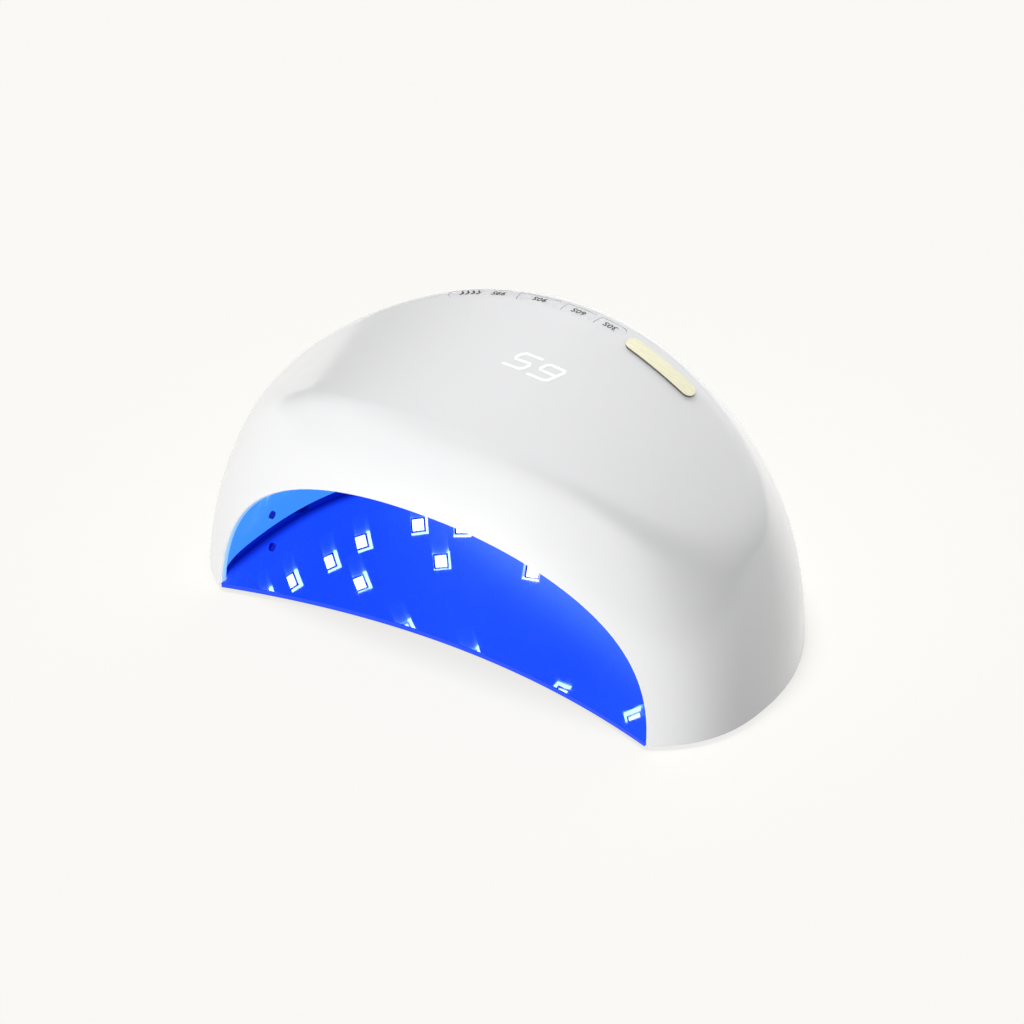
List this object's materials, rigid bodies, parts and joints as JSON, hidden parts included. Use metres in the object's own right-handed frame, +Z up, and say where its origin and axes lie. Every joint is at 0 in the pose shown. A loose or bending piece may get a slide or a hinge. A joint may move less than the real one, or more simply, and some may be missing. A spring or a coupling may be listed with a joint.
{
  "type": "uv led nail lamp",
  "caption": "Domed white nail-curing lamp with a wide arched hand opening, a lit blue reflector, time keys on its back rim and a lift-off mirror tray.",
  "frame": {"origin": "centre of the bounding box's bottom face, on the surface that the feet stand on", "axes": "+X along the width, to the right as seen from the mouth; the mouth faces -Y; +Z up"},
  "size_m": [0.22, 0.1486, 0.1046],
  "materials": {
    "shell": "glossy moulded ABS",
    "reflector": "polished, lit blue",
    "tray_mirror": "polished mirror sheet",
    "rubber": "matt",
    "steel": "satin",
    "key": "satin",
    "nameplate": "champagne gloss",
    "circuit": "solder mask",
    "led": "lit package on a white board",
    "black_plastic": "moulded",
    "sensor": "dark epoxy",
    "wire": "insulation"
  },
  "bodies": {
    "base": {"mirror_tray": "tray_mirror", "foot_front_left": "rubber", "foot_front_right": "rubber", "foot_rear_left": "rubber", "foot_rear_right": "rubber", "keeper_1": "steel", "keeper_2": "steel", "keeper_3": "steel", "keeper_4": "steel"},
    "housing": {"outer_shell": "shell", "inner_reflector": "reflector", "led_01": "led", "led_02": "led", "led_03": "led", "led_04": "led", "led_05": "led", "led_06": "led", "led_07": "led", "led_08": "led", "led_09": "led", "led_10": "led", "led_11": "led", "led_12": "led", "led_13": "led", "led_14": "led", "led_15": "led", "led_16": "led", "led_17": "led", "led_18": "led", "led_19": "led", "led_20": "led", "led_21": "led", "led_22": "led", "led_23": "led", "led_24": "led", "ir_emitter": "sensor", "ir_receiver": "sensor", "nameplate": "nameplate", "main_board": "circuit", "display_block": "black_plastic", "dc_jack": "black_plastic", "supply_lead": "wire", "led_loom": "wire", "switch_99": "black_plastic", "switch_90": "black_plastic", "switch_60": "black_plastic", "switch_30": "black_plastic", "screw_1": "steel", "screw_2": "steel", "screw_3": "steel", "screw_4": "steel", "magnet_1": "steel", "magnet_2": "steel", "magnet_3": "steel", "magnet_4": "steel"},
    "button_99": {"key_99": "key"},
    "button_90": {"key_90": "key"},
    "button_60": {"key_60": "key"},
    "button_30": {"key_30": "key"}
  },
  "joints": [
    {"name": "housing_lift", "type": "slide", "parent": "base", "child": "housing", "axis": [0, 0, 1], "range_m": [0, 0.03]},
    {"name": "key_99_press", "type": "slide", "parent": "housing", "child": "button_99", "axis": [0, 0, -1], "range_m": [0, 0.0006], "stiffness_N_per_m": 2500, "springref_m": -0.0002},
    {"name": "key_90_press", "type": "slide", "parent": "housing", "child": "button_90", "axis": [0, 0, -1], "range_m": [0, 0.0006], "stiffness_N_per_m": 2500, "springref_m": -0.0002},
    {"name": "key_60_press", "type": "slide", "parent": "housing", "child": "button_60", "axis": [0, 0, -1], "range_m": [0, 0.0006], "stiffness_N_per_m": 2500, "springref_m": -0.0002},
    {"name": "key_30_press", "type": "slide", "parent": "housing", "child": "button_30", "axis": [0, 0, -1], "range_m": [0, 0.0006], "stiffness_N_per_m": 2500, "springref_m": -0.0002}
  ]
}
